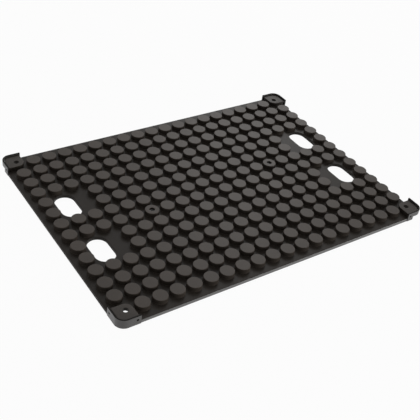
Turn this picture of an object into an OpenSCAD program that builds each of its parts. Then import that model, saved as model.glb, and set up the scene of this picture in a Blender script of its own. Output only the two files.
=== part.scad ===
// Seedling heat mat: a studded rubber cover closes over a flat heating layer, and four guards
// wrap its corners. All sizes are in millimetres.
// Frame: the origin is the middle of the underside, +X runs along the long edges, +Y points
// away from the viewer and +Z points up.

/* [Stud grid] */
// Distance between the centres of neighbouring studs
stud_pitch = 25; // [23:0.5:27]
// Columns of studs along the length
stud_columns = 20; // [16:2:24]
// Rows of studs across the width
stud_rows = 14; // [12:2:18]
// Diameter of a stud
stud_diameter = 20.5; // [19:0.5:22]
// Height of a stud above the border
stud_height = 6.5; // [5.5:0.5:8]
// Chamfer round the top of a stud
stud_chamfer = 0.4; // [0.2:0.1:0.8]

/* [Outline] */
// Distance from the outer columns to the short edges
end_border = 17.5; // [17:0.5:20]
// Distance from the outer rows to the long edges
side_border = 20.5; // [19:0.5:24]
// Corner radius of the outline
corner_radius = 12.5; // [10:0.5:14]
// Distance that the right edge is set back between its two guards
right_recess = 4; // [3:0.5:5]

/* [Slots] */
// Width of a slot, along the length of the mat
slot_width = 29; // [24:0.5:32]
// Length of a slot, across the mat
slot_length = 50; // [40:1:54]
// Distance of a slot from the middle of its four missing studs, towards the end of the mat
slot_shift = 10; // [8:0.5:12]
// Rubber between a slot and the heater well
slot_wall = 6.5; // [6:0.5:10]

/* [Corner bosses] */
// Distance of a boss's screw hole from the two nearest edges
boss_inset = 17.5; // [17:0.1:18.5]
// Diameter of the screw hole in a boss
boss_hole_diameter = 7.5; // [5:0.1:8.5]
// Radius of the inner corner of a boss, about its hole
boss_radius = 10.5; // [9.5:0.1:11.5]
// Thickness of the top plate of a boss
boss_plate = 5.2; // [5:0.1:5.4]
// Wall round the hollow under a boss
boss_wall = 1.5; // [1:0.1:2]
// Radius of the flared mouth of that hollow
boss_mouth_radius = 12.5; // [11:0.5:13]
// Distance that the flared mouth leans towards the middle of the mat, on each axis
boss_mouth_shift = 3; // [2.5:0.1:3.5]
// Height of the finger grips under two of the corners
grip_height = 6; // [5.5:0.1:6.5]

/* [Corner guards] */
// Wall thickness of a guard
guard_wall = 2; // [1.6:0.1:2.6]
// Height of a guard's rim above the stud tops
guard_rise = 2.5; // [1.5:0.1:4]
// Distance that a guard stands out from the edges of the mat
guard_proud = 0.6; // [0.3:0.1:1]
// Reach of each arm of a guard past the boss hole
guard_reach = 12; // [10:0.5:13]
// Gap between a guard and the cover
guard_seam = 0.3; // [0.1:0.05:0.5]
// Width of a guard's foot under the mat
guard_foot_width = 4; // [3:0.1:4.2]
// Thickness of a guard's foot
guard_foot_thickness = 1.6; // [1:0.1:2]
// Diameter of the pegs on the foot
guard_peg_diameter = 2.4; // [2:0.1:2.6]
// Height of the pegs above the foot
guard_peg_height = 1.8; // [1:0.1:2.2]
// Side of the square window in each arm
guard_window = 3; // [2:0.1:3.5]
// Distance of the window from the boss hole, along the arm
guard_window_offset = 7; // [6:0.1:8]

/* [Layers] */
// Thickness of the base sheet
sheet_thickness = 1.2; // [1:0.1:1.6]
// Thickness of the insulation pad
pad_thickness = 0.6; // [0.5:0.05:1]
// Thickness of the tape under the heating cable
tape_thickness = 0.15; // [0.1:0.05:0.3]
// Width of a tape strip
tape_width = 10; // [8:0.5:11]
// Thickness of the heat spreader
spreader_thickness = 0.2; // [0.1:0.05:0.4]
// Thickness of the cover above the heating layer
roof_thickness = 1.15; // [1:0.05:2]
// Clearance between pieces that fit together
play = 0.05; // [0.03:0.01:0.08]

/* [Heater well] */
// Rubber between the heater well and the long edges
edge_wall = 8; // [7:0.5:10]
// Width of the ledge that the base sheet lies against
ledge_width = 4; // [3:0.1:4.2]
// Clearance round the base sheet
sheet_clearance = 0.2; // [0.1:0.05:0.4]
// Width of the edge seal
seal_width = 1.2; // [0.8:0.1:1.6]
// Height of the edge seal
seal_height = 0.6; // [0.4:0.05:0.65]

/* [Wiring] */
// Diameter of the heating cable
cable_diameter = 1.6; // [1.4:0.05:2]
// Gap between the cable's far turns and the lane with the splices
lane_gap = 7.75; // [6.5:0.25:9]
// Bend radius of the cable at its two ends
cable_bend = 6; // [4:0.5:8]
// Diameter of the leads and of the legs of the thermal cut-out
lead_diameter = 1.4; // [1:0.05:1.4]
// Bend radius of the leads
lead_bend = 4; // [3:0.5:4.5]
// Length of a splice
splice_length = 12; // [10:0.5:13]
// Wall of a splice
splice_wall = 0.45; // [0.3:0.05:0.5]
// Length of the thermal cut-out
cutout_length = 9; // [7:0.5:10]
// Diameter of the thermal cut-out
cutout_diameter = 2.2; // [2:0.05:2.3]
// Wall of the sleeve on the thermal cut-out
sleeve_wall = 0.25; // [0.15:0.05:0.3]
// Diameter of the pockets in the cover round the splices
pocket_diameter = 15; // [14.5:0.5:16]

/* [Inlet] */
// Width of the inlet
inlet_width = 16; // [14:0.5:20]
// Depth of the inlet, in from the edge
inlet_depth = 12; // [11.5:0.1:13]
// Thickness of the cover above the inlet
inlet_cover = 0.6; // [0.5:0.05:0.7]
// Width of the socket
socket_width = 12; // [11:0.5:13]
// Height of the socket
socket_height = 2; // [1.8:0.1:2.2]
// Depth of the socket
socket_depth = 4.6; // [4:0.1:4.7]
// Distance between the two pins
pin_spacing = 7; // [6:0.1:8]
// Diameter of a pin
pin_diameter = 1.2; // [1:0.05:1.3]
// Distance from the end of a pin to the mouth of the socket
pin_setback = 1; // [0.5:0.1:2]
// Outer diameter of the solder cup behind a pin
cup_diameter = 2; // [1.9:0.05:2.2]
// Length of the solder cup
cup_length = 3.5; // [2.5:0.1:4]

/* [Screw fixings] */
// Diameter of the sunk hole in a bored stud
fixing_hole_diameter = 7.6; // [7.2:0.1:9]
// Depth of that hole
fixing_hole_depth = 4.5; // [3.5:0.1:5]
// Thickness of the web that the screw clamps
fixing_web = 1.8; // [1.2:0.1:2.2]
// Diameter of the pillar on the base sheet
pillar_diameter = 9.4; // [8:0.1:10]
// Diameter of the screw
screw_diameter = 4; // [3:0.1:4.5]
// Diameter of the screw head
screw_head_diameter = 6.8; // [6:0.1:7]
// Height of the screw head
screw_head_height = 2; // [1.5:0.1:2.5]
// Width of the slot in the screw head
screw_slot_width = 1.2; // [0.8:0.1:1.4]

/* [Output] */
// Piece to draw

/* [Hidden] */
$fn = 48;

rubber_colour = [0.12, 0.12, 0.12];
guard_colour = [0.16, 0.16, 0.16];
sheet_colour = [0.2, 0.2, 0.21];
foil_colour = [0.8, 0.81, 0.82];
cable_colour = [0.62, 0.16, 0.12];
tape_colour = [0.85, 0.8, 0.6];
felt_colour = [0.75, 0.74, 0.7];
brass_colour = [0.78, 0.62, 0.3];
steel_colour = [0.3, 0.3, 0.31];
sleeve_colour = [0.9, 0.88, 0.8];
neutral_colour = [0.2, 0.3, 0.7];
live_colour = [0.45, 0.28, 0.16];

// Cuts run this far past the faces they open
cut_margin = 1;

// Positions on the stud grid, counted from the front left
function column_x(column) = (column - (stud_columns - 1) / 2) * stud_pitch;
function row_y(row) = (row - (stud_rows - 1) / 2) * stud_pitch;
last_column = stud_columns - 1;
last_row = stud_rows - 1;
middle_column = floor(stud_columns / 2);
middle_row = floor(stud_rows / 2);

// Outline
half_length = column_x(last_column) + end_border;
half_width = row_y(last_row) + side_border;
boss_x = half_length - boss_inset;
boss_y = half_width - boss_inset;
outside_corner = [half_length, half_width] + 3 * [cut_margin, cut_margin];

// Heights of the layers
cable_bottom = sheet_thickness + pad_thickness + tape_thickness + play;
wire_z = cable_bottom + cable_diameter / 2;
spreader_bottom = cable_bottom + cable_diameter + play;
roof_bottom = spreader_bottom + spreader_thickness;
slab_thickness = roof_bottom + roof_thickness;
stud_top = slab_thickness + stud_height;
guard_top = stud_top + guard_rise;

// Slots
slot_x = column_x(last_column - 1) - stud_pitch / 2 + slot_shift;
slot_y = row_y(middle_row + 1) + stud_pitch / 2;

// Bored studs: the second one is the first one turned half a turn about the middle
fixing_x = column_x(middle_column + 4);
fixing_y = row_y(middle_row);
fixing_floor = stud_top - fixing_hole_depth;
fixing_socket_top = fixing_floor - fixing_web;
pillar_clearance = 0.3;
pillar_top = fixing_socket_top - pillar_clearance;
screw_tip = sheet_thickness;

// Heater well
well_half_length = slot_x - slot_width / 2 - slot_wall;
well_half_width = half_width - edge_wall;
layer_end_margin = 1;
layer_side_margin = 5;

// Wiring: a fixing lies midway between two runs of the cable
runs_to_fixing = 5;
run_spacing = fixing_x / runs_to_fixing;
turn_radius = run_spacing / 2;
run_end_margin = 12;
half_runs = floor((well_half_length - run_end_margin) / run_spacing + 0.5);
outer_run_x = (half_runs - 0.5) * run_spacing;
inlet_back = half_width - inlet_depth;
lane_y = inlet_back - cup_length - lead_bend - 1;
far_turn_y = lane_y - lane_gap - turn_radius;
near_turn_y = lane_gap + turn_radius - well_half_width;
neutral_splice_x = column_x(middle_column - 2);
cutout_splice_x = column_x(middle_column + 1);
cutout_x = column_x(middle_column + 2);
live_splice_x = column_x(middle_column + 3);
wire_end_gap = 0.2;
splice_bore = cable_diameter + 2 * play;
sleeve_bore = cutout_diameter + 2 * play;
sleeve_length = cutout_length + 2;
pocket_top = slab_thickness - 0.5;
tape_y = 4.4 * stud_pitch;
tape_overhang = 5;
pillar_hole_diameter = pillar_diameter + 2.6;

// Inlet
inlet_bottom = sheet_thickness + play;
inlet_top = slab_thickness - inlet_cover - play;
socket_floor = half_width - socket_depth;
inlet_notch_margin = 2;

// Corner guards
guard_inset = guard_wall - guard_proud;
guard_arm_x = boss_x - guard_reach;
guard_arm_y = boss_y - guard_reach;
guard_peg_inset = guard_inset + guard_foot_width / 2;
guard_peg_from_end = 4;
guard_window_bottom = slab_thickness + 1.2;
guard_window_depth = 4;
boss_hollow_radius = boss_radius - boss_wall;
boss_hollow_top = stud_top - boss_plate;
grip_past_hole = 1;

// Plan shapes

module rounded_rectangle(length, width, radius) {
    square([length, width - 2 * radius], center = true);
    square([length - 2 * radius, width], center = true);
    for (side_x = [-1, 1], side_y = [-1, 1])
        translate([side_x * (length / 2 - radius), side_y * (width / 2 - radius)])
            circle(radius);
}

// The outline of the mat, moved in by an inset
module mat_plan(inset) {
    rounded_rectangle(2 * (half_length - inset), 2 * (half_width - inset), corner_radius - inset);
}

// The slab of the cover: its right edge is set back between the guards
module slab_plan() {
    difference() {
        mat_plan(0);
        translate([half_length - right_recess, -guard_arm_y])
            square([right_recess + cut_margin, 2 * guard_arm_y]);
    }
}

// A rectangle in the quarter of the plan that the two sides choose
module quarter_square(side_x, side_y, from, to) {
    translate([side_x > 0 ? from.x : -to.x, side_y > 0 ? from.y : -to.y])
        square(to - from);
}

// The corner of the plan that a guard covers, widened by a clearance
module guard_zone_plan(side_x, side_y, clearance) {
    arm_ends = [guard_arm_x - clearance, guard_arm_y - clearance];
    quarter_square(side_x, side_y, arm_ends, outside_corner);
}

// A strip along the edges of the mat at one corner
module guard_strip(side_x, side_y, outer_inset, inner_inset, clearance) {
    intersection() {
        difference() {
            mat_plan(outer_inset);
            mat_plan(inner_inset);
        }
        guard_zone_plan(side_x, side_y, clearance);
    }
}

// A boss is square towards the corner and round towards the middle of the mat
module boss_plan(side_x, side_y) {
    intersection() {
        union() {
            translate([side_x * boss_x, side_y * boss_y])
                circle(boss_radius);
            quarter_square(side_x, side_y, [boss_x - boss_radius, boss_y], [half_length, half_width]);
            quarter_square(side_x, side_y, [boss_x, boss_y - boss_radius], [half_length, half_width]);
        }
        mat_plan(guard_inset + guard_seam);
    }
}

module slot_plan() {
    straight = slot_length - slot_width;
    square([slot_width, straight], center = true);
    for (side = [-1, 1])
        translate([0, side * straight / 2])
            circle(d = slot_width);
}

// The ring of the edge seal, widened by a clearance
module seal_plan(clearance) {
    ring_x = well_half_length + ledge_width / 2;
    ring_y = well_half_width + ledge_width / 2;
    reach = seal_width / 2 + clearance;
    outer_radius = 2;
    difference() {
        rounded_rectangle(2 * (ring_x + reach), 2 * (ring_y + reach), outer_radius + reach);
        rounded_rectangle(2 * (ring_x - reach), 2 * (ring_y - reach), outer_radius - reach);
    }
}

// The plan that the insulation pad and the heat spreader share
module layer_plan() {
    difference() {
        square([2 * (well_half_length - layer_end_margin), 2 * (well_half_width - layer_side_margin)],
               center = true);
        for (side = [-1, 1])
            translate(side * [fixing_x, fixing_y])
                circle(d = pillar_hole_diameter);
        for (x = [neutral_splice_x, cutout_splice_x, cutout_x, live_splice_x])
            translate([x, lane_y]) {
                circle(d = pocket_diameter);
                translate([-pocket_diameter / 2, 0])
                    square([pocket_diameter, well_half_width]);
            }
        translate([-inlet_width / 2 - inlet_notch_margin, lane_y + lead_diameter])
            square([inlet_width + 2 * inlet_notch_margin, well_half_width]);
    }
}

// Shared solids

// A round bar along +X from one x to another
module bar_x(from_x, to_x, y, diameter) {
    translate([from_x, y, wire_z])
        rotate([0, 90, 0])
            cylinder(d = diameter, h = to_x - from_x);
}

// A round bar along +Y from one y to another
module bar_y(x, from_y, to_y, diameter) {
    translate([x, from_y, wire_z])
        rotate([-90, 0, 0])
            cylinder(d = diameter, h = to_y - from_y);
}

// A bend of wire about a vertical axis
module wire_bend(centre_x, centre_y, start_angle, sweep, bend_radius, diameter) {
    translate([centre_x, centre_y, wire_z])
        rotate([0, 0, start_angle])
            rotate_extrude(angle = sweep)
                translate([bend_radius, 0])
                    circle(d = diameter);
}

module splice(x) {
    color(brass_colour)
        difference() {
            bar_x(x - splice_length / 2, x + splice_length / 2, lane_y, splice_bore + 2 * splice_wall);
            bar_x(x - splice_length, x + splice_length, lane_y, splice_bore);
        }
}

module tape_strip(y) {
    strip_length = 2 * (outer_run_x + tape_overhang);
    color(tape_colour)
        translate([-strip_length / 2, y - tape_width / 2, sheet_thickness + pad_thickness])
            cube([strip_length, tape_width, tape_thickness]);
}

// The studded cover

// Whether a slot takes the place of the stud at x, y
function stud_in_slot(x, y) =
    abs(abs(x) - slot_x) < (slot_width + stud_diameter) / 2
    && abs(abs(y) - slot_y) < (slot_length + stud_diameter) / 2;

function is_corner(column, row) =
    (column == 0 || column == last_column) && (row == 0 || row == last_row);

// A stud stands on the slab and reaches down into it
module stud() {
    root = roof_thickness / 2;
    translate([0, 0, slab_thickness - root])
        cylinder(d = stud_diameter, h = root + stud_height - stud_chamfer);
    translate([0, 0, stud_top - stud_chamfer])
        cylinder(d1 = stud_diameter, d2 = stud_diameter - 2 * stud_chamfer, h = stud_chamfer);
}

module stud_field() {
    for (column = [0 : last_column], row = [0 : last_row])
        if (!is_corner(column, row) && !stud_in_slot(column_x(column), row_y(row)))
            translate([column_x(column), row_y(row), 0])
                stud();
}

module corner_hollow(side_x, side_y) {
    translate([side_x * boss_x, side_y * boss_y, -cut_margin]) {
        cylinder(d = boss_hole_diameter, h = stud_top + 2 * cut_margin);
        cylinder(r = boss_hollow_radius, h = boss_hollow_top + cut_margin);
    }
    translate([side_x * (boss_x - boss_mouth_shift), side_y * (boss_y - boss_mouth_shift), 0]) {
        cylinder(r1 = boss_mouth_radius, r2 = boss_hollow_radius, h = roof_bottom);
        translate([0, 0, -cut_margin])
            cylinder(r = boss_mouth_radius, h = cut_margin);
    }
}

// The space that a guard, its foot and its pegs take from the cover
module guard_space(side_x, side_y) {
    translate([0, 0, -cut_margin])
        linear_extrude(stud_top + 2 * cut_margin)
            guard_strip(side_x, side_y, -2 * cut_margin, guard_inset + guard_seam, guard_seam);
    translate([0, 0, -cut_margin])
        linear_extrude(guard_foot_thickness + play + cut_margin)
            guard_strip(side_x, side_y, -cut_margin, guard_inset + guard_foot_width + play, play);
    guard_pegs(side_x, side_y, play);
}

// The front right and back left corners are cut away underneath, so that a finger can lift the mat
module finger_grips() {
    grip_start = [boss_x, boss_y] - [grip_past_hole, grip_past_hole];
    for (side = [-1, 1])
        translate([0, 0, -cut_margin])
            linear_extrude(grip_height + cut_margin)
                quarter_square(side, -side, grip_start, outside_corner);
}

module fixing_space() {
    translate([0, 0, fixing_floor])
        cylinder(d = fixing_hole_diameter, h = fixing_hole_depth + cut_margin);
    cylinder(d = screw_diameter + pillar_clearance, h = stud_top);
    cylinder(d = pillar_diameter + 2 * pillar_clearance, h = fixing_socket_top);
}

module heater_space() {
    translate([-well_half_length, -well_half_width, -cut_margin])
        cube([2 * well_half_length, 2 * well_half_width, roof_bottom + cut_margin]);
    translate([-well_half_length - ledge_width, -well_half_width - ledge_width, -cut_margin])
        cube([2 * (well_half_length + ledge_width), 2 * (well_half_width + ledge_width),
              sheet_thickness + cut_margin]);
    translate([0, 0, sheet_thickness / 2])
        linear_extrude(sheet_thickness / 2 + seal_height + play)
            seal_plan(play);
    for (x = [neutral_splice_x, cutout_splice_x, cutout_x, live_splice_x])
        translate([x, lane_y, sheet_thickness])
            cylinder(d = pocket_diameter, h = pocket_top - sheet_thickness);
    translate([-inlet_width / 2 - play, inlet_back - cup_length - play, sheet_thickness])
        cube([inlet_width + 2 * play, inlet_depth + cup_length + play + cut_margin,
              inlet_top + play - sheet_thickness]);
}

module stud_cover() {
    color(rubber_colour)
        difference() {
            union() {
                linear_extrude(slab_thickness)
                    slab_plan();
                stud_field();
                for (side_x = [-1, 1], side_y = [-1, 1])
                    linear_extrude(stud_top)
                        boss_plan(side_x, side_y);
            }
            for (side_x = [-1, 1], side_y = [-1, 1]) {
                translate([side_x * slot_x, side_y * slot_y, -cut_margin])
                    linear_extrude(slab_thickness + 2 * cut_margin)
                        slot_plan();
                corner_hollow(side_x, side_y);
                guard_space(side_x, side_y);
                guard_windows(side_x, side_y);
            }
            for (side = [-1, 1])
                translate(side * [fixing_x, fixing_y, 0])
                    fixing_space();
            finger_grips();
            heater_space();
        }
}

// The base sheet and its seal

module base_sheet() {
    color(sheet_colour)
        difference() {
            union() {
                linear_extrude(sheet_thickness)
                    square(2 * [well_half_length + ledge_width - sheet_clearance,
                                well_half_width + ledge_width - sheet_clearance], center = true);
                for (side = [-1, 1])
                    translate(side * [fixing_x, fixing_y, 0])
                        cylinder(d = pillar_diameter, h = pillar_top);
            }
            for (side = [-1, 1])
                translate(side * [fixing_x, fixing_y, 0] + [0, 0, screw_tip])
                    cylinder(d = screw_diameter + 2 * play, h = pillar_top);
        }
}

module edge_seal() {
    color(rubber_colour)
        translate([0, 0, sheet_thickness])
            linear_extrude(seal_height)
                seal_plan(0);
}

module fixing_screws() {
    slot_depth = screw_head_height / 2;
    color(steel_colour)
        for (side = [-1, 1])
            translate(side * [fixing_x, fixing_y, 0] + [0, 0, fixing_floor])
                difference() {
                    union() {
                        cylinder(d = screw_head_diameter, h = screw_head_height);
                        translate([0, 0, screw_tip + play - fixing_floor])
                            cylinder(d = screw_diameter, h = fixing_floor - screw_tip - play);
                    }
                    translate([-screw_head_diameter, -screw_slot_width / 2, screw_head_height - slot_depth])
                        cube([2 * screw_head_diameter, screw_slot_width, slot_depth + cut_margin]);
                }
}

// The heating layer

module insulation_pad() {
    color(felt_colour)
        translate([0, 0, sheet_thickness])
            linear_extrude(pad_thickness)
                layer_plan();
}

module heat_spreader() {
    color(foil_colour)
        translate([0, 0, spreader_bottom])
            linear_extrude(spreader_thickness)
                layer_plan();
}

// One unbroken cable. The outer runs go on past the far turns, bend into the lane and end in splices
module heating_cable() {
    last_run = 2 * half_runs - 1;
    bend_y = lane_y - cable_bend;
    bend_x = outer_run_x - cable_bend;
    color(cable_colour) {
        for (run = [0 : last_run]) {
            run_x = (run - last_run / 2) * run_spacing;
            is_outer = run == 0 || run == last_run;
            bar_y(run_x, near_turn_y, is_outer ? bend_y : far_turn_y, cable_diameter);
        }
        for (turn = [1 : half_runs])
            wire_bend((2 * turn - 1.5 - last_run / 2) * run_spacing, near_turn_y, 180, 180,
                      turn_radius, cable_diameter);
        for (turn = [1 : half_runs - 1])
            wire_bend((2 * turn - 0.5 - last_run / 2) * run_spacing, far_turn_y, 0, 180,
                      turn_radius, cable_diameter);
        wire_bend(-bend_x, bend_y, 90, 90, cable_bend, cable_diameter);
        wire_bend(bend_x, bend_y, 0, 90, cable_bend, cable_diameter);
        bar_x(-bend_x, neutral_splice_x - wire_end_gap, lane_y, cable_diameter);
        bar_x(live_splice_x + wire_end_gap, bend_x, lane_y, cable_diameter);
    }
}

module cable_tape_1() {
    tape_strip(-tape_y);
}

module cable_tape_2() {
    tape_strip(0);
}

module cable_tape_3() {
    tape_strip(tape_y);
}

// The wiring in the lane

module splice_neutral() {
    splice(neutral_splice_x);
}

module splice_cutout() {
    splice(cutout_splice_x);
}

module splice_live() {
    splice(live_splice_x);
}

module thermal_cutout() {
    color(steel_colour) {
        bar_x(cutout_x - cutout_length / 2, cutout_x + cutout_length / 2, lane_y, cutout_diameter);
        bar_x(cutout_splice_x + wire_end_gap, cutout_x, lane_y, lead_diameter);
        bar_x(cutout_x, live_splice_x - wire_end_gap, lane_y, lead_diameter);
    }
}

module cutout_sleeve() {
    color(sleeve_colour)
        difference() {
            bar_x(cutout_x - sleeve_length / 2, cutout_x + sleeve_length / 2, lane_y,
                  sleeve_bore + 2 * sleeve_wall);
            bar_x(cutout_x - sleeve_length, cutout_x + sleeve_length, lane_y, sleeve_bore);
        }
}

// A lead starts in the cup behind its pin and bends into the lane
module neutral_lead() {
    bend_x = -pin_spacing / 2 - lead_bend;
    bend_y = lane_y + lead_bend;
    color(neutral_colour) {
        bar_y(-pin_spacing / 2, bend_y, inlet_back - play, lead_diameter);
        wire_bend(bend_x, bend_y, 270, 90, lead_bend, lead_diameter);
        bar_x(neutral_splice_x + wire_end_gap, bend_x, lane_y, lead_diameter);
    }
}

module live_lead() {
    bend_x = pin_spacing / 2 + lead_bend;
    bend_y = lane_y + lead_bend;
    color(live_colour) {
        bar_y(pin_spacing / 2, bend_y, inlet_back - play, lead_diameter);
        wire_bend(bend_x, bend_y, 180, 90, lead_bend, lead_diameter);
        bar_x(bend_x, cutout_splice_x - wire_end_gap, lane_y, lead_diameter);
    }
}

// The inlet in the far edge

module inlet_body() {
    color(guard_colour)
        difference() {
            translate([-inlet_width / 2, inlet_back, inlet_bottom])
                cube([inlet_width, inlet_depth, inlet_top - inlet_bottom]);
            translate([-socket_width / 2, socket_floor, wire_z - socket_height / 2])
                cube([socket_width, socket_depth + cut_margin, socket_height]);
            for (side = [-1, 1])
                bar_y(side * pin_spacing / 2, inlet_back - cut_margin, socket_floor + cut_margin,
                      pin_diameter + 2 * play);
            linear_extrude(sheet_thickness + seal_height + play)
                seal_plan(play);
        }
}

module inlet_pins() {
    color(brass_colour)
        for (side = [-1, 1])
            difference() {
                union() {
                    bar_y(side * pin_spacing / 2, inlet_back, half_width - pin_setback, pin_diameter);
                    bar_y(side * pin_spacing / 2, inlet_back - cup_length, inlet_back, cup_diameter);
                }
                bar_y(side * pin_spacing / 2, inlet_back - 2 * cup_length, inlet_back - play / 2,
                      lead_diameter + 2 * play);
            }
}

// The corner guards

// The two pegs of a guard, one on each arm, widened by a clearance
module guard_pegs(side_x, side_y, clearance) {
    positions = [
        [guard_arm_x + guard_peg_from_end, half_width - guard_peg_inset],
        [half_length - guard_peg_inset, guard_arm_y + guard_peg_from_end]
    ];
    peg_bottom = guard_foot_thickness / 2;
    for (position = positions)
        translate([side_x * position.x, side_y * position.y, peg_bottom])
            cylinder(d = guard_peg_diameter + 2 * clearance,
                     h = guard_foot_thickness + guard_peg_height + clearance - peg_bottom);
}

// The window in each arm goes on as a blind pocket in the boss behind it
module guard_windows(side_x, side_y) {
    cut_depth = 2 * guard_window_depth;
    translate([side_x * (boss_x - guard_window_offset), side_y * half_width,
               guard_window_bottom + guard_window / 2])
        cube([guard_window, cut_depth, guard_window], center = true);
    translate([side_x * half_length, side_y * (boss_y - guard_window_offset),
               guard_window_bottom + guard_window / 2])
        cube([cut_depth, guard_window, guard_window], center = true);
}

module corner_guard(side_x, side_y) {
    color(guard_colour)
        difference() {
            union() {
                linear_extrude(guard_top)
                    guard_strip(side_x, side_y, -guard_proud, guard_inset, 0);
                linear_extrude(guard_foot_thickness)
                    guard_strip(side_x, side_y, -guard_proud, guard_inset + guard_foot_width, 0);
                guard_pegs(side_x, side_y, 0);
            }
            guard_windows(side_x, side_y);
            finger_grips();
        }
}

module corner_guard_front_left() {
    corner_guard(-1, -1);
}

module corner_guard_front_right() {
    corner_guard(1, -1);
}

module corner_guard_back_left() {
    corner_guard(-1, 1);
}

module corner_guard_back_right() {
    corner_guard(1, 1);
}

stud_cover();
base_sheet();
edge_seal();
heat_spreader();
heating_cable();
cable_tape_1();
cable_tape_2();
cable_tape_3();
insulation_pad();
thermal_cutout();
cutout_sleeve();
splice_neutral();
splice_cutout();
splice_live();
neutral_lead();
live_lead();
inlet_body();
inlet_pins();
fixing_screws();
corner_guard_front_left();
corner_guard_front_right();
corner_guard_back_left();
corner_guard_back_right();
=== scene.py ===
"""The looks of the seedling heat mat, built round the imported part, in metres and in the part's frame."""

import math
from collections import namedtuple

import bmesh
import bpy
from mathutils import Matrix, Vector
from mathutils.geometry import delaunay_2d_cdt


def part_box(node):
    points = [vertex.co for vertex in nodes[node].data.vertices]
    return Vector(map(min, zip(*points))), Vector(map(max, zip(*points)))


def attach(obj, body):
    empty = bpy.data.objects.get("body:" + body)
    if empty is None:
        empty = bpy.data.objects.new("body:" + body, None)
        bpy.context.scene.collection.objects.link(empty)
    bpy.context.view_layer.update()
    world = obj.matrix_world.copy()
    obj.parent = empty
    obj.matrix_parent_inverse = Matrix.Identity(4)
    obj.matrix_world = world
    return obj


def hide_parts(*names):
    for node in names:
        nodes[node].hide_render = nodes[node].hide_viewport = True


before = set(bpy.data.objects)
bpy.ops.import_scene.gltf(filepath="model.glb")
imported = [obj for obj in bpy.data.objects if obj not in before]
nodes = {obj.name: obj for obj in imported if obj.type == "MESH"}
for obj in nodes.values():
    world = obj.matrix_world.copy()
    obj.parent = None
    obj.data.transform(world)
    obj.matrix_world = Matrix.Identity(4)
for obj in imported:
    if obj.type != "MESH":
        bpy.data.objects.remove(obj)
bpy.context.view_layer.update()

MM = 0.001
BODY = "root"

# Driving sizes, as in the part's source
stud_pitch = 25 * MM
stud_columns = 20
stud_rows = 14
stud_radius = 10.25 * MM
slab_top = 5 * MM
stud_top = 11.5 * MM
corner_radius = 12.5 * MM
right_recess = 4 * MM
slot_width = 29 * MM
slot_length = 50 * MM
slot_centre = Vector((210 * MM, 50 * MM))
boss_inset = 17.5 * MM
boss_radius = 10.5 * MM
boss_hole_radius = 3.75 * MM
boss_plate = 5.2 * MM
boss_hollow_radius = 9 * MM
boss_mouth_radius = 12.5 * MM
boss_mouth_shift = 3 * MM
roof_bottom = 3.85 * MM
grip_height = 6 * MM
grip_past_hole = 1 * MM
guard_wall = 2 * MM
guard_proud = 0.6 * MM
guard_seam = 0.3 * MM
guard_reach = 12 * MM
guard_foot_width = 4 * MM
guard_foot_thickness = 1.6 * MM
guard_window = 3 * MM
guard_window_offset = 7 * MM
guard_window_bottom = 6.2 * MM
guard_window_depth = 4 * MM
fixing_column = 14
fixing_row = 7
fixing_hole_radius = 3.8 * MM
fixing_hole_depth = 4.5 * MM
screw_radius = 2 * MM
ledge_width = 4 * MM
sheet_gap = 0.2 * MM
sheet_thickness = 1.2 * MM

# Sizes read from the frame
cover_low, cover_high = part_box("stud_cover")
half_length = -cover_low.x
half_width = cover_high.y
guard_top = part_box("corner_guard_front_left")[1].z
sheet_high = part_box("base_sheet")[1]

# Roundings and other small forms that the moulded pieces have
slab_top_round = 0.8 * MM
slab_bottom_round = 0.3 * MM
stud_rim_round = 0.7 * MM
stud_root_round = 0.7 * MM
stud_draft = 0.12 * MM
stud_sink = 0.05 * MM
boss_round = 0.6 * MM
boss_hole_round = 0.3 * MM
boss_seam = 1.25 * MM
boss_corner_round = 1.2 * MM
guard_round = 0.5 * MM
guard_bottom_round = 0.2 * MM
bore_flare = 0.4 * MM
bore_flare_step = 0.1 * MM
inlet_gap = 0.1 * MM

# Cuts run this far past the faces they open, and further past the guards
cut_margin = 1 * MM
guard_cut_margin = 3 * MM

# How finely curves are drawn
slot_steps = 24
corner_steps = 12
boss_steps = 16
boss_corner_steps = 4
guard_steps = 20
ring_steps = 40
rounding_steps = 4

# Places on the stud grid
boss_x = half_length - boss_inset
boss_y = half_width - boss_inset
guard_inset = guard_wall - guard_proud
guard_arm_x = boss_x - guard_reach
guard_arm_y = boss_y - guard_reach
corner_centre = (half_length - corner_radius, half_width - corner_radius)

QUARTERS = [(1, 1), (-1, 1), (-1, -1), (1, -1)]
GRIP_QUARTERS = [(-1, 1), (1, -1)]
GUARD_NAMES = {
    (1, 1): "back_right",
    (-1, 1): "back_left",
    (-1, -1): "front_left",
    (1, -1): "front_right",
}


def column_x(column):
    return (column - (stud_columns - 1) / 2) * stud_pitch


def row_y(row):
    return (row - (stud_rows - 1) / 2) * stud_pitch


# Flat paths, as lists of points that run anticlockwise


def arc(centre, radius, start, end, steps):
    """Points on a circle from one angle to another, in degrees, both ends included."""
    angles = [math.radians(start + (end - start) * k / steps) for k in range(steps + 1)]
    return [Vector((centre[0] + radius * math.cos(a), centre[1] + radius * math.sin(a))) for a in angles]


def circle(centre, radius):
    return arc(centre, radius, 0, 360, ring_steps)[:-1]


def in_quarter(points, quarter):
    """Points of the back right quarter, mirrored into another quarter and kept anticlockwise."""
    mirrored = [Vector((p.x * quarter[0], p.y * quarter[1])) for p in points]
    return mirrored if quarter[0] * quarter[1] > 0 else mirrored[::-1]


def all_quarters(points):
    """One closed path from the points of its back right quarter."""
    return [p for quarter in QUARTERS for p in in_quarter(points, quarter)]


def slot_path(quarter):
    """A slot across the mat, with two round ends."""
    straight = Vector((0, (slot_length - slot_width) / 2))
    centre = Vector((slot_centre.x * quarter[0], slot_centre.y * quarter[1]))
    far_end = arc(centre + straight, slot_width / 2, 0, 180, slot_steps)
    near_end = arc(centre - straight, slot_width / 2, 180, 360, slot_steps)
    return far_end + near_end


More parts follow.
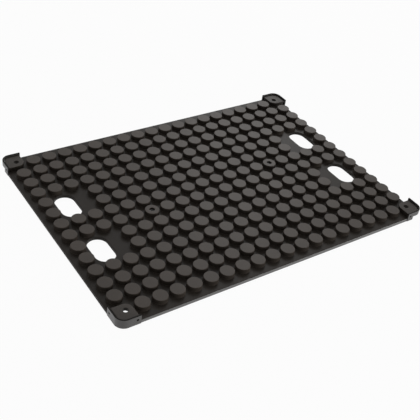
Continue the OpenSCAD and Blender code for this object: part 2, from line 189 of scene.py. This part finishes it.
def cover_path():
    """The edge of the cover, cut back behind the four guards and along the right edge."""
    notch = guard_inset + guard_seam
    end_x = guard_arm_x - guard_seam
    end_y = guard_arm_y - guard_seam
    path = []
    for quarter in QUARTERS:
        edge_x = half_length - right_recess if quarter[0] > 0 else half_length
        corner = [Vector((edge_x, end_y)), Vector((half_length - notch, end_y))]
        corner += arc(corner_centre, corner_radius - notch, 0, 90, corner_steps)
        corner += [Vector((end_x, half_width - notch)), Vector((end_x, half_width))]
        path += in_quarter(corner, quarter)
    return path


def boss_path(quarter):
    """A boss is square towards the corner of the mat and round towards its middle."""
    inset = guard_inset + boss_seam
    small = boss_corner_round
    far_corner = (boss_x - boss_radius + small, half_width - inset - small)
    right_corner = (half_length - inset - small, boss_y - boss_radius + small)
    points = arc(corner_centre, corner_radius - inset, 0, 90, corner_steps)
    points += arc(far_corner, small, 90, 180, boss_corner_steps)
    points += arc((boss_x, boss_y), boss_radius, 180, 270, boss_steps)
    points += arc(right_corner, small, 270, 360, boss_corner_steps)
    return in_quarter(points, quarter)


def guard_path(quarter, depth):
    """A strip along the two edges at a corner, from the outer face of the guard inwards by a depth."""
    outer = corner_radius + guard_proud
    inner = outer - depth
    centre_x, centre_y = corner_centre
    points = [Vector((centre_x + outer, guard_arm_y))]
    points += arc(corner_centre, outer, 0, 90, guard_steps)
    points += [Vector((guard_arm_x, centre_y + outer)), Vector((guard_arm_x, centre_y + inner))]
    points += arc(corner_centre, inner, 90, 0, guard_steps)
    points += [Vector((centre_x + inner, guard_arm_y))]
    return in_quarter(points, quarter)


def rectangle_path(half_x, half_y):
    return all_quarters([Vector((half_x, half_y))])


def inset_path(path, inset):
    """The path moved towards its left, which is inwards, by an inset."""
    sharpest_corner = 0.3
    moved = []
    for k, point in enumerate(path):
        before = (point - path[k - 1]).normalized()
        after = (path[(k + 1) % len(path)] - point).normalized()
        normal_before = Vector((-before.y, before.x))
        normal_after = Vector((-after.y, after.x))
        middle = (normal_before + normal_after).normalized()
        moved.append(point + middle * inset / max(sharpest_corner, middle.dot(normal_after)))
    return moved


# Mesh building


def quarter_turn():
    return [math.pi / 2 * k / rounding_steps for k in range(rounding_steps + 1)]


def bottom_rounding(bottom, radius):
    """Pairs of inset and height up a rounded lower edge."""
    return [(radius * (1 - math.sin(a)), bottom + radius * (1 - math.cos(a))) for a in quarter_turn()]


def top_rounding(top, radius):
    """Pairs of inset and height up a rounded upper edge."""
    return [(radius * (1 - math.cos(a)), top - radius * (1 - math.sin(a))) for a in quarter_turn()]


def rounded_levels(bottom, top, bottom_round, top_round):
    """Pairs of inset and height up a wall whose lower and upper edges are rounded."""
    return bottom_rounding(bottom, bottom_round) + top_rounding(top, top_round)


def add_loop(mesh, points, height):
    return [mesh.verts.new((p.x, p.y, height)) for p in points]


def join_loops(mesh, lower, upper):
    """Faces between two closed loops that have as many points each."""
    for k in range(len(lower)):
        after = (k + 1) % len(lower)
        mesh.faces.new((lower[k], lower[after], upper[after], upper[k]))


def add_wall(mesh, path, levels, side):
    """A wall up a path, whose roundings go inwards at side 1, and outwards, as on a hole, at side -1."""
    loops = [add_loop(mesh, inset_path(path, side * inset), height) for inset, height in levels]
    for lower, upper in zip(loops, loops[1:]):
        join_loops(mesh, lower, upper)
    return loops[0], loops[-1]


def is_inside(point, loop):
    """Whether a flat point lies inside a loop of vertices."""
    inside = False
    for k, vert in enumerate(loop):
        a, b = loop[k - 1].co, vert.co
        if (a.y > point.y) != (b.y > point.y):
            inside ^= point.x < a.x + (point.y - a.y) / (b.y - a.y) * (b.x - a.x)
    return inside


def add_cap(mesh, outer, *holes):
    """Fills between an outer loop and the holes in it."""
    triangles_inside = 1
    closeness = 1e-8
    verts = list(outer)
    edges = [(k, (k + 1) % len(outer)) for k in range(len(outer))]
    for hole in holes:
        first = len(verts)
        verts += hole
        edges += [(first + k, first + (k + 1) % len(hole)) for k in range(len(hole))]
    flat_points = [vert.co.xy for vert in verts]
    vert_at = {tuple(vert.co.xy): vert for vert in verts}
    points, _, faces, *_ = delaunay_2d_cdt(flat_points, edges, [], triangles_inside, closeness)
    for face in faces:
        middle = sum((points[corner] for corner in face), Vector((0, 0))) / len(face)
        if not any(is_inside(middle, hole) for hole in holes):
            mesh.faces.new([vert_at[tuple(points[corner])] for corner in face])


def add_lathe(mesh, centres, profile):
    """Rings of given radius and height, each about its own centre, joined into one surface."""
    loops = []
    for centre, (radius, height) in zip(centres, profile):
        loops.append(add_loop(mesh, circle(centre, radius), height))
    for lower, upper in zip(loops, loops[1:]):
        join_loops(mesh, lower, upper)
    return loops


def add_plate(mesh, path, levels):
    """A closed plate with rounded edges."""
    bottom, top = add_wall(mesh, path, levels, 1)
    add_cap(mesh, bottom)
    add_cap(mesh, top)


def add_box(mesh, low, high):
    """A plain box between two corners."""
    path = [Vector(low[:2]), Vector((high[0], low[1])), Vector(high[:2]), Vector((low[0], high[1]))]
    add_plate(mesh, path, [(0, low[2]), (0, high[2])])


def add_quarter_box(mesh, quarter, near, far):
    """A box in one quarter of the plan, between its corners nearest to and furthest from the middle."""
    x_ends = sorted((near[0] * quarter[0], far[0] * quarter[0]))
    y_ends = sorted((near[1] * quarter[1], far[1] * quarter[1]))
    add_box(mesh, (x_ends[0], y_ends[0], near[2]), (x_ends[1], y_ends[1], far[2]))


def helper_object(mesh):
    bmesh.ops.recalc_face_normals(mesh, faces=mesh.faces)
    data = bpy.data.meshes.new("helper")
    mesh.to_mesh(data)
    mesh.free()
    helper = bpy.data.objects.new("helper", data)
    bpy.context.scene.collection.objects.link(helper)
    return helper


def carved(mesh, cutters):
    """The geometry with the cutters taken away from it."""
    body = helper_object(mesh)
    tool = helper_object(cutters)
    cut = body.modifiers.new("cut", "BOOLEAN")
    cut.operation = "DIFFERENCE"
    cut.solver = "EXACT"
    cut.use_self = True
    cut.object = tool
    result = bmesh.new()
    result.from_object(body, bpy.context.evaluated_depsgraph_get())
    bpy.data.objects.remove(body)
    bpy.data.objects.remove(tool)
    return result


def finish_piece(mesh, name, zones, slot, *stands_for):
    """Turns built geometry into a piece of the object that rides on the one body."""
    sharp_angle = math.radians(40)
    bmesh.ops.recalc_face_normals(mesh, faces=mesh.faces)
    data = bpy.data.meshes.new(name)
    mesh.to_mesh(data)
    mesh.free()
    for _, material in zones:
        data.materials.append(material)
    for polygon in data.polygons:
        polygon.use_smooth = True
        polygon.material_index = sum(polygon.center.z > start for start, _ in zones[1:])
    data.set_sharp_from_angle(angle=sharp_angle)
    piece = bpy.data.objects.new(name, data)
    bpy.context.scene.collection.objects.link(piece)
    weighted = piece.modifiers.new("weighted normals", "WEIGHTED_NORMAL")
    weighted.keep_sharp = True
    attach(piece, BODY)
    if stands_for:
        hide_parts(*stands_for)
    return piece


# Materials

Finish = namedtuple("Finish", "colour roughness gloss")
Grain = namedtuple("Grain", "scale depth")

# The values that a noise mostly has, and a narrower span for stronger clouds
NOISE_SPAN = (0.2, 0.8)
CLOUD_SPAN = (0.3, 0.7)

# The colour sockets of the mix node, which has others of the same names
MIX_FIRST = 6
MIX_SECOND = 7
MIX_RESULT = 2


def toned(colour, share):
    return tuple(share * channel for channel in colour)


class Shading:
    """A node material with a principled shader and short ways to add nodes."""

    def __init__(self, name):
        self.material = bpy.data.materials.new(name)
        self.material.use_nodes = True
        self.tree = self.material.node_tree
        self.shader = self.tree.nodes["Principled BSDF"]
        self.place = self.add("ShaderNodeTexCoord").outputs["Object"]

    def add(self, kind, **settings):
        node = self.tree.nodes.new(kind)
        for key, value in settings.items():
            setattr(node, key, value)
        return node

    def join(self, output, target):
        self.tree.links.new(output, target)

    def noise(self, scale, detail, roughness=0.5):
        node = self.add("ShaderNodeTexNoise")
        node.inputs["Scale"].default_value = scale
        node.inputs["Detail"].default_value = detail
        node.inputs["Roughness"].default_value = roughness
        self.join(self.place, node.inputs["Vector"])
        return node.outputs["Fac"]

    def remap(self, value, old_span, new_span):
        """A value stretched from one span of numbers to another."""
        node = self.add("ShaderNodeMapRange")
        node.inputs["From Min"].default_value = old_span[0]
        node.inputs["From Max"].default_value = old_span[1]
        node.inputs["To Min"].default_value = new_span[0]
        node.inputs["To Max"].default_value = new_span[1]
        self.join(value, node.inputs["Value"])
        return node.outputs["Result"]

    def colour_between(self, share, first, second):
        """Sets the base colour, between two colours."""
        node = self.add("ShaderNodeMix", data_type="RGBA")
        self.join(share, node.inputs["Factor"])
        node.inputs[MIX_FIRST].default_value = (*first, 1)
        node.inputs[MIX_SECOND].default_value = (*second, 1)
        self.join(node.outputs[MIX_RESULT], self.shader.inputs["Base Color"])

    def roughness_between(self, share, low, high):
        """Sets the roughness, between two numbers."""
        self.join(self.remap(share, NOISE_SPAN, (low, high)), self.shader.inputs["Roughness"])

    def bump(self, height, strength, distance):
        node = self.add("ShaderNodeBump")
        node.inputs["Strength"].default_value = strength
        node.inputs["Distance"].default_value = distance
        self.join(height, node.inputs["Height"])
        self.join(node.outputs["Normal"], self.shader.inputs["Normal"])

    def set(self, name, value):
        self.shader.inputs[name].default_value = value


def moulded_material(name, finish, grain):
    """Moulded rubber or plastic with a cloudy tone and fine grain."""
    cloud_scale = 38
    cloud_detail = 4
    grain_detail = 2
    grain_strength = 0.5
    tone_spread = 0.12
    roughness_spread = 0.08
    shading = Shading(name)
    clouds = shading.remap(shading.noise(cloud_scale, cloud_detail), CLOUD_SPAN, (0, 1))
    grain_height = shading.noise(grain.scale, grain_detail)
    darker = toned(finish.colour, 1 - tone_spread)
    lighter = toned(finish.colour, 1 + tone_spread)
    smoother = finish.roughness - roughness_spread
    rougher = finish.roughness + roughness_spread
    shading.colour_between(clouds, darker, lighter)
    shading.roughness_between(grain_height, smoother, rougher)
    shading.set("Specular IOR Level", finish.gloss)
    shading.bump(grain_height, grain_strength, grain.depth)
    return shading.material


def metal_material(name, colour, roughness):
    """Plain metal with fine drawn streaks."""
    streak_scale = 900
    streak_detail = 2
    streak_tone = 0.75
    smoother = roughness - 0.08
    rougher = roughness + 0.1
    shading = Shading(name)
    streaks = shading.noise(streak_scale, streak_detail)
    shading.colour_between(streaks, toned(colour, streak_tone), colour)
    shading.roughness_between(streaks, smoother, rougher)
    shading.set("Metallic", 1.0)
    return shading.material


def plain_material(name, colour, roughness, grain):
    """An inner piece: one colour with a woven or felted unevenness."""
    fibre_detail = 4
    fibre_roughness = 0.7
    fibre_tone = 0.7
    fibre_strength = 0.6
    shading = Shading(name)
    fibres = shading.noise(grain.scale, fibre_detail, fibre_roughness)
    shading.colour_between(fibres, toned(colour, fibre_tone), colour)
    shading.set("Roughness", roughness)
    shading.bump(fibres, fibre_strength, grain.depth)
    return shading.material


# Finishes of the rubber: the sides and underside of the slab, its smoother front side, lighter and glossier
# as a painted highlight, its top with the sides of the bosses, the tops of the bosses and the tops and sides
# of the studs, where the tops are lighter and glossier as painted sheen and the sides duller as painted shade
# between the studs
EDGE_FINISH = Finish((0.036, 0.032, 0.0285), 0.6, 0.16)
# The front side is lighter and glossier than the other sides: a painted highlight for light falling on it.
FRONT_HIGHLIGHT_FINISH = Finish((0.087, 0.085, 0.081), 0.34, 1.0)
SLAB_FINISH = Finish((0.036, 0.03, 0.025), 0.36, 0.12)
# The tops of bosses and studs are lighter and glossier than the slab and stud sides: painted sheen; the
# duller stud sides are painted shade.
BOSS_TOP_SHEEN_FINISH = Finish((0.05, 0.041, 0.034), 0.45, 0.26)
STUD_TOP_SHEEN_FINISH = Finish((0.0595, 0.0465, 0.037), 0.43, 0.28)
SHADED_SIDE_FINISH = Finish((0.05, 0.041, 0.034), 0.6, 0.06)

# Finishes of the plastic: the walls of the guards and their rims, darker as painted shade where a guard meets
# its boss, the base sheet and the inlet
GUARD_FINISH = Finish((0.055, 0.051, 0.047), 0.3, 0.68)
# The rims are much darker and duller than the walls: painted shade where the guard meets the boss.
RIM_SHADE_FINISH = Finish((0.015, 0.0135, 0.012), 0.6, 0.1)
SHEET_FINISH = Finish((0.05, 0.05, 0.052), 0.6, 0.4)
INLET_FINISH = Finish((0.04, 0.04, 0.04), 0.5, 0.4)

RUBBER_GRAIN = Grain(2600, 0.06 * MM)
GUARD_GRAIN = Grain(1800, 0.08 * MM)
SHEET_GRAIN = Grain(1200, 0.12 * MM)
INLET_GRAIN = Grain(2500, 0.04 * MM)
SEAL_GRAIN = Grain(800, 0.05 * MM)
JACKET_GRAIN = Grain(900, 0.03 * MM)
TAPE_GRAIN = Grain(1500, 0.04 * MM)
FELT_GRAIN = Grain(700, 0.15 * MM)
SLEEVE_GRAIN = Grain(2000, 0.05 * MM)
LEAD_GRAIN = Grain(600, 0.02 * MM)

edge_rubber = moulded_material("edge_rubber", EDGE_FINISH, RUBBER_GRAIN)
front_highlight_rubber = moulded_material("front_highlight_rubber", FRONT_HIGHLIGHT_FINISH, RUBBER_GRAIN)
slab_rubber = moulded_material("slab_rubber", SLAB_FINISH, RUBBER_GRAIN)
boss_top_sheen_rubber = moulded_material("boss_top_sheen_rubber", BOSS_TOP_SHEEN_FINISH, RUBBER_GRAIN)
stud_top_sheen_rubber = moulded_material("stud_top_sheen_rubber", STUD_TOP_SHEEN_FINISH, RUBBER_GRAIN)
shaded_side_rubber = moulded_material("shaded_side_rubber", SHADED_SIDE_FINISH, RUBBER_GRAIN)
guard_plastic = moulded_material("guard_plastic", GUARD_FINISH, GUARD_GRAIN)
rim_shade_plastic = moulded_material("rim_shade_plastic", RIM_SHADE_FINISH, GUARD_GRAIN)
sheet_plastic = moulded_material("sheet_plastic", SHEET_FINISH, SHEET_GRAIN)
inlet_plastic = moulded_material("inlet_plastic", INLET_FINISH, INLET_GRAIN)
seal_rubber = plain_material("seal_rubber", (0.06, 0.06, 0.06), 0.7, SEAL_GRAIN)
cable_jacket = plain_material("cable_jacket", (0.45, 0.1, 0.07), 0.5, JACKET_GRAIN)
tape_cloth = plain_material("tape_cloth", (0.75, 0.65, 0.42), 0.85, TAPE_GRAIN)
felt = plain_material("felt", (0.62, 0.61, 0.58), 0.95, FELT_GRAIN)
sleeve_fibre = plain_material("sleeve_fibre", (0.82, 0.8, 0.72), 0.9, SLEEVE_GRAIN)
neutral_insulation = plain_material("neutral_insulation", (0.08, 0.16, 0.5), 0.5, LEAD_GRAIN)
live_insulation = plain_material("live_insulation", (0.28, 0.13, 0.06), 0.5, LEAD_GRAIN)
foil = metal_material("foil", (0.8, 0.81, 0.82), 0.35)
brass = metal_material("brass", (0.78, 0.62, 0.3), 0.35)
cutout_metal = metal_material("cutout_metal", (0.6, 0.6, 0.6), 0.4)
screw_steel = metal_material("screw_steel", (0.12, 0.12, 0.12), 0.45)

# Each piece's materials, with the height from which its faces have them
slab_zone = slab_top - 0.3 * MM
# Faces above this height get the lighter, glossier top finish: painted sheen on the tops of studs and bosses.
top_sheen_zone = stud_top - 0.4 * MM
# Faces above this height get the dark rim finish: painted shade along the top of the guards.
rim_shade_zone = guard_top - 0.5 * MM
SHELL_ZONES = [(0, edge_rubber), (slab_zone, slab_rubber), (top_sheen_zone, boss_top_sheen_rubber)]
STUD_ZONES = [(0, shaded_side_rubber), (top_sheen_zone, stud_top_sheen_rubber)]
GUARD_ZONES = [(0, guard_plastic), (rim_shade_zone, rim_shade_plastic)]

NODE_MATERIALS = {
    "base_sheet": sheet_plastic,
    "edge_seal": seal_rubber,
    "heat_spreader": foil,
    "heating_cable": cable_jacket,
    "cable_tape_1": tape_cloth,
    "cable_tape_2": tape_cloth,
    "cable_tape_3": tape_cloth,
    "insulation_pad": felt,
    "thermal_cutout": cutout_metal,
    "cutout_sleeve": sleeve_fibre,
    "splice_neutral": brass,
    "splice_cutout": brass,
    "splice_live": brass,
    "neutral_lead": neutral_insulation,
    "live_lead": live_insulation,
    "inlet_body": inlet_plastic,
    "inlet_pins": brass,
    "fixing_screws": screw_steel,
}
for node_name, node_material in NODE_MATERIALS.items():
    nodes[node_name].data.materials.clear()
    nodes[node_name].data.materials.append(node_material)


# The cover: slab, slots, bosses and their hollows as one skin


def boss_hollow(mesh, quarter):
    """The flared mouth, the hollow and the screw hole under a boss, from its lowest to its highest loop."""
    centre = Vector((boss_x * quarter[0], boss_y * quarter[1]))
    lean = Vector((boss_mouth_shift * quarter[0], boss_mouth_shift * quarter[1]))
    hollow_top = stud_top - boss_plate
    profile = [
        (boss_mouth_radius, 0),
        (boss_hollow_radius, roof_bottom),
        (boss_hollow_radius, hollow_top),
        (boss_hole_radius, hollow_top),
        (boss_hole_radius, stud_top - boss_hole_round),
        (boss_hole_radius + boss_hole_round, stud_top),
    ]
    centres = [centre - lean] + [centre] * (len(profile) - 1)
    loops = add_lathe(mesh, centres, profile)
    return loops[0], loops[-1]


def add_grips(cutters):
    """The spaces for a finger under two of the corners."""
    near = (boss_x - grip_past_hole, boss_y - grip_past_hole, -cut_margin)
    far = (half_length + guard_cut_margin, half_width + guard_cut_margin, grip_height)
    for quarter in GRIP_QUARTERS:
        add_quarter_box(cutters, quarter, near, far)


def add_windows(cutters, quarter):
    """The windows in the two arms of a guard, with the pockets behind them."""
    reach = guard_window / 2
    low = guard_window_bottom
    high = guard_window_bottom + guard_window
    x = boss_x - guard_window_offset
    y = boss_y - guard_window_offset
    inner_x = half_length - guard_window_depth
    inner_y = half_width - guard_window_depth
    outer_x = half_length + cut_margin
    outer_y = half_width + cut_margin
    add_quarter_box(cutters, quarter, (x - reach, inner_y, low), (x + reach, outer_y, high))
    add_quarter_box(cutters, quarter, (inner_x, y - reach, low), (outer_x, y + reach, high))


def add_inlet_opening(cutters):
    """The space round the inlet, out through the far edge."""
    low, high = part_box("inlet_body")
    gap = Vector((inlet_gap, inlet_gap, inlet_gap))
    add_box(cutters, low - gap, high + gap + Vector((0, cut_margin, 0)))


def paint_front_highlight(shell):
    """Gives the slab's front side a lighter, glossier finish of its own, a painted highlight."""
    front_depth = 1 * MM
    shell.data.materials.append(front_highlight_rubber)
    for polygon in shell.data.polygons:
        if polygon.material_index == 0 and polygon.center.y < front_depth - half_width:
            polygon.material_index = len(SHELL_ZONES)


def build_cover():
    mesh = bmesh.new()
    edge = rounded_levels(0, slab_top, slab_bottom_round, slab_top_round)
    boss_levels = [(0, slab_top)] + top_rounding(stud_top, boss_round)
    bottom, top = add_wall(mesh, cover_path(), edge, 1)
    under_loops = [bottom]
    over_loops = [top]
    for quarter in QUARTERS:
        slot_bottom, slot_top = add_wall(mesh, slot_path(quarter), edge, -1)
        under_loops.append(slot_bottom)
        over_loops.append(slot_top)
        boss_base, boss_rim = add_wall(mesh, boss_path(quarter), boss_levels, 1)
        over_loops.append(boss_base)
        mouth, hole = boss_hollow(mesh, quarter)
        under_loops.append(mouth)
        add_cap(mesh, boss_rim, hole)
    rabbet_x = sheet_high.x + sheet_gap
    rabbet_y = sheet_high.y + sheet_gap
    rabbet = rectangle_path(rabbet_x, rabbet_y)
    rabbet_bottom, rabbet_top = add_wall(mesh, rabbet, [(0, 0), (0, sheet_thickness)], 1)
    well = rectangle_path(rabbet_x - ledge_width, rabbet_y - ledge_width)
    well_bottom, well_top = add_wall(mesh, well, [(0, sheet_thickness), (0, roof_bottom)], 1)
    add_cap(mesh, rabbet_top, well_bottom)
    add_cap(mesh, well_top)
    under_loops.append(rabbet_bottom)
    add_cap(mesh, *under_loops)
    add_cap(mesh, *over_loops)
    cutters = bmesh.new()
    add_grips(cutters)
    add_inlet_opening(cutters)
    for quarter in QUARTERS:
        add_windows(cutters, quarter)
    shell = finish_piece(carved(mesh, cutters), "cover_shell", SHELL_ZONES, "cover_rubber", "stud_cover")
    paint_front_highlight(shell)


def is_corner(column, row):
    return column in (0, stud_columns - 1) and row in (0, stud_rows - 1)


def in_slot(x, y):
    near_x = abs(abs(x) - slot_centre.x) < slot_width / 2 + stud_radius
    near_y = abs(abs(y) - slot_centre.y) < slot_length / 2 + stud_radius
    return near_x and near_y


def stud_profile():
    """Radius and height from the root of a stud, up its side and over its rim."""
    root = bottom_rounding(slab_top - stud_sink, stud_root_round)
    rim = top_rounding(stud_top, stud_rim_round)
    points = [(stud_radius + inset, height) for inset, height in root]
    points += [(stud_radius - stud_draft - inset, height) for inset, height in rim]
    return points


def bore_profile():
    """Radius and height from the top of a bored stud down to the screw in it."""
    floor_height = stud_top - fixing_hole_depth
    return [
        (fixing_hole_radius + bore_flare, stud_top),
        (fixing_hole_radius + bore_flare_step, stud_top - bore_flare_step),
        (fixing_hole_radius, stud_top - bore_flare),
        (fixing_hole_radius, floor_height),
        (screw_radius, floor_height),
    ]


def build_studs():
    mesh = bmesh.new()
    plain = stud_profile()
    bored = plain + bore_profile()
    opposite = (stud_columns - 1 - fixing_column, stud_rows - 1 - fixing_row)
    fixings = [(fixing_column, fixing_row), opposite]
    for column in range(stud_columns):
        for row in range(stud_rows):
            centre = Vector((column_x(column), row_y(row)))
            if is_corner(column, row) or in_slot(centre.x, centre.y):
                continue
            rings = bored if (column, row) in fixings else plain
            loops = add_lathe(mesh, [centre] * len(rings), rings)
            if (column, row) not in fixings:
                mesh.faces.new(loops[-1])
    finish_piece(mesh, "cover_studs", STUD_ZONES, "cover_rubber")


# The corner guards


def build_guard(quarter):
    foot_depth = guard_wall + guard_foot_width
    wall_levels = rounded_levels(0, guard_top, guard_bottom_round, guard_round)
    foot_levels = rounded_levels(0, guard_foot_thickness, guard_bottom_round, guard_bottom_round)
    mesh = bmesh.new()
    add_plate(mesh, guard_path(quarter, guard_wall), wall_levels)
    add_plate(mesh, guard_path(quarter, foot_depth), foot_levels)
    cutters = bmesh.new()
    add_grips(cutters)
    add_windows(cutters, quarter)
    mesh = carved(mesh, cutters)
    node = "corner_guard_" + GUARD_NAMES[quarter]
    finish_piece(mesh, "guard_" + GUARD_NAMES[quarter], GUARD_ZONES, "guard_plastic", node)


build_cover()
build_studs()
for corner in QUARTERS:
    build_guard(corner)


# Floor, light and camera


def seen_directly(tree):
    """1 for rays from the camera, or from it by a mirror or through glass, and otherwise 0."""
    path = tree.nodes.new("ShaderNodeLightPath")
    first = tree.nodes.new("ShaderNodeMath")
    first.operation = "MAXIMUM"
    tree.links.new(path.outputs["Is Camera Ray"], first.inputs[0])
    tree.links.new(path.outputs["Is Glossy Ray"], first.inputs[1])
    second = tree.nodes.new("ShaderNodeMath")
    second.operation = "MAXIMUM"
    tree.links.new(first.outputs[0], second.inputs[0])
    tree.links.new(path.outputs["Is Transmission Ray"], second.inputs[1])
    return second.outputs[0]


def build_floor():
    """A pale floor that keeps a little of the mat's shadow and otherwise looks white."""
    size = 30
    drop = 0.3 * MM
    grey = 0.85
    glow_share = 0.96
    bpy.ops.mesh.primitive_plane_add(size=size, location=(0, 0, -drop))
    floor = bpy.context.object
    floor.name = "floor"
    material = bpy.data.materials.new("pale_floor")
    material.use_nodes = True
    tree = material.node_tree
    tree.nodes.clear()
    output = tree.nodes.new("ShaderNodeOutputMaterial")
    diffuse = tree.nodes.new("ShaderNodeBsdfDiffuse")
    diffuse.inputs["Color"].default_value = (grey, grey, grey, 1)
    glow = tree.nodes.new("ShaderNodeEmission")
    glow.inputs["Color"].default_value = (1, 1, 1, 1)
    glow.inputs["Strength"].default_value = 1
    share = tree.nodes.new("ShaderNodeMath")
    share.operation = "MULTIPLY"
    share.inputs[1].default_value = glow_share
    tree.links.new(seen_directly(tree), share.inputs[0])
    mix = tree.nodes.new("ShaderNodeMixShader")
    tree.links.new(share.outputs[0], mix.inputs["Fac"])
    tree.links.new(diffuse.outputs[0], mix.inputs[1])
    tree.links.new(glow.outputs[0], mix.inputs[2])
    tree.links.new(mix.outputs[0], output.inputs["Surface"])
    floor.data.materials.append(material)


def build_world():
    """A white background that lights the mat at a lower strength."""
    sky_strength = 0.27
    world = bpy.data.worlds.new("studio")
    bpy.context.scene.world = world
    world.use_nodes = True
    tree = world.node_tree
    background = tree.nodes["Background"]
    background.inputs["Color"].default_value = (1, 1, 1, 1)
    strength = tree.nodes.new("ShaderNodeMapRange")
    strength.inputs["To Min"].default_value = sky_strength
    strength.inputs["To Max"].default_value = 1
    tree.links.new(seen_directly(tree), strength.inputs["Value"])
    tree.links.new(strength.outputs["Result"], background.inputs["Strength"])


def add_softbox(name, place, width, height, power):
    """A rectangular lamp that points at the middle of the mat."""
    light = bpy.data.lights.new(name, "AREA")
    light.shape = "RECTANGLE"
    light.size = width
    light.size_y = height
    light.energy = power
    lamp = bpy.data.objects.new(name, light)
    bpy.context.scene.collection.objects.link(lamp)
    lamp.location = place
    lamp.rotation_euler = (-Vector(place)).to_track_quat("-Z", "Y").to_euler()


def build_camera():
    """The camera of the photograph, worked out from the stud grid and the edges in it."""
    focal_pixels = 766.3
    image_pixels = 420
    sensor_width = 36
    azimuth = math.radians(38.92)
    elevation = math.radians(37.85)
    roll = math.radians(8.88)
    distance = 1129.1 * MM
    shift_right = 5.9 * MM
    shift_up = 37.5 * MM
    forward = Vector((
        math.sin(azimuth) * math.cos(elevation),
        math.cos(azimuth) * math.cos(elevation),
        -math.sin(elevation),
    ))
    level_right = Vector((math.cos(azimuth), -math.sin(azimuth), 0))
    level_up = level_right.cross(forward)
    right = level_right * math.cos(roll) + level_up * math.sin(roll)
    up = level_up * math.cos(roll) - level_right * math.sin(roll)
    target = Vector((0, 0, stud_top))
    camera = bpy.data.cameras.new("camera")
    camera.sensor_width = sensor_width
    camera.lens = focal_pixels / image_pixels * sensor_width
    holder = bpy.data.objects.new("camera", camera)
    bpy.context.scene.collection.objects.link(holder)
    axes = Matrix((right, up, -forward)).transposed().to_4x4()
    axes.translation = target - forward * distance - right * shift_right - up * shift_up
    holder.matrix_world = axes
    bpy.context.scene.camera = holder


build_floor()
build_world()
add_softbox("key", place=(1.1, 1.22, 1.12), width=0.6, height=0.6, power=4.4)
add_softbox("front", place=(2.6, -2.8, 0.6), width=2.4, height=0.6, power=50)
build_camera()
bpy.context.scene.view_settings.view_transform = "Standard"
